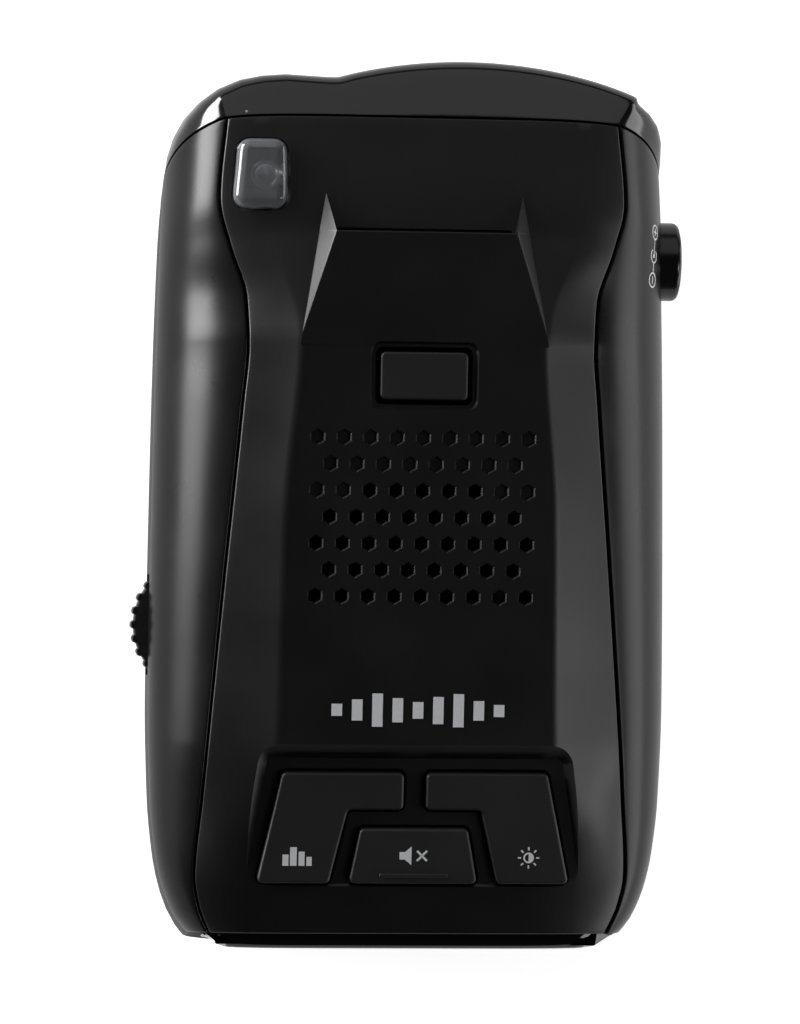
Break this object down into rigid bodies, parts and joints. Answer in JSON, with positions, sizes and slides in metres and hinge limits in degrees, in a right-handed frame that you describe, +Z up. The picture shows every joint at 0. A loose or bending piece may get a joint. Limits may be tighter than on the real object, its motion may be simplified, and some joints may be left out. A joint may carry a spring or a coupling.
{
  "type": "radar detector",
  "caption": "Windshield radar and laser detector with front horn window, rear laser lens, speaker grille, keys, bracket slot with release button, volume wheel and power inlet.",
  "frame": {"origin": "centre of the flat underside", "axes": "+Z up out of the top panel, +Y forward to the road (the front window), +X to the right side that has the power inlet"},
  "size_m": [0.0736, 0.1196, 0.0314],
  "materials": {
    "top_black": "fine satin texture",
    "side_black": "smooth satin",
    "case_black": "fine texture",
    "window_black": "polished",
    "key_black": "fine texture",
    "wheel_black": "satin",
    "inlet_black": "satin",
    "clear_lens": "clear",
    "silver_print": "silver ink",
    "plate_grey": "matte",
    "board_green": "solder mask",
    "tin_plate": "tinned",
    "cast_horn": "cast",
    "screw_steel": "zinc plated",
    "spring_steel": "drawn wire",
    "contact_brass": "nickel flash",
    "part_black": "moulded",
    "stem_plastic": "moulded",
    "magnet_steel": "plated",
    "cone_paper": "paper",
    "foam": "foam",
    "display_glass": "glass face"
  },
  "bodies": {
    "case": {"lower_case": "case_black", "top_panel": "top_black", "left_side_panel": "side_black", "right_side_panel": "side_black", "front_window": "window_black", "display_window": "window_black", "rear_laser_lens": "clear_lens", "key_switch_housings": "part_black", "key_board": "board_green", "release_spring": "spring_steel", "latch_retainer": "part_black", "retainer_screws": "screw_steel", "volume_pot_body": "stem_plastic", "power_inlet": "inlet_black", "power_inlet_pin": "contact_brass", "main_board": "board_green", "horn_antenna": "cast_horn", "shield_can": "tin_plate", "laser_board": "board_green", "front_laser_diode": "part_black", "rear_laser_diode": "part_black", "speaker_frame": "magnet_steel", "speaker_magnet": "magnet_steel", "speaker_cone": "cone_paper", "speaker_gasket": "foam", "display_module": "display_glass", "board_screws": "screw_steel", "case_screws": "screw_steel", "emblem": "silver_print", "rating_plate": "plate_grey"},
    "left_key": {"left_key": "key_black", "left_switch_stem": "stem_plastic"},
    "centre_key": {"centre_key": "key_black", "centre_switch_stem": "stem_plastic"},
    "right_key": {"right_key": "key_black", "right_switch_stem": "stem_plastic"},
    "release_button": {"release_button": "key_black"},
    "volume_wheel": {"volume_wheel": "wheel_black", "volume_shaft": "tin_plate"}
  },
  "joints": [
    {"name": "left_key_press", "type": "slide", "parent": "case", "child": "left_key", "axis": [0, 0.108, -0.9942], "range_m": [0, 0.0004], "stiffness_N_per_m": 1500, "springref_m": -0.0002},
    {"name": "centre_key_press", "type": "slide", "parent": "case", "child": "centre_key", "axis": [0, 0.108, -0.9942], "range_m": [0, 0.0004], "stiffness_N_per_m": 1500, "springref_m": -0.0002},
    {"name": "right_key_press", "type": "slide", "parent": "case", "child": "right_key", "axis": [0, 0.108, -0.9942], "range_m": [0, 0.0004], "stiffness_N_per_m": 1500, "springref_m": -0.0002},
    {"name": "release_press", "type": "slide", "parent": "case", "child": "release_button", "axis": [0, 0, -1], "range_m": [0, 0.0015], "stiffness_N_per_m": 800, "springref_m": -0.001, "deforming": ["release_spring"]},
    {"name": "volume_turn", "type": "hinge", "parent": "case", "child": "volume_wheel", "pos_m": [-0.0282, -0.0163, 0.0097], "axis": [0, 0, 1], "range_deg": [-135, 135]}
  ]
}
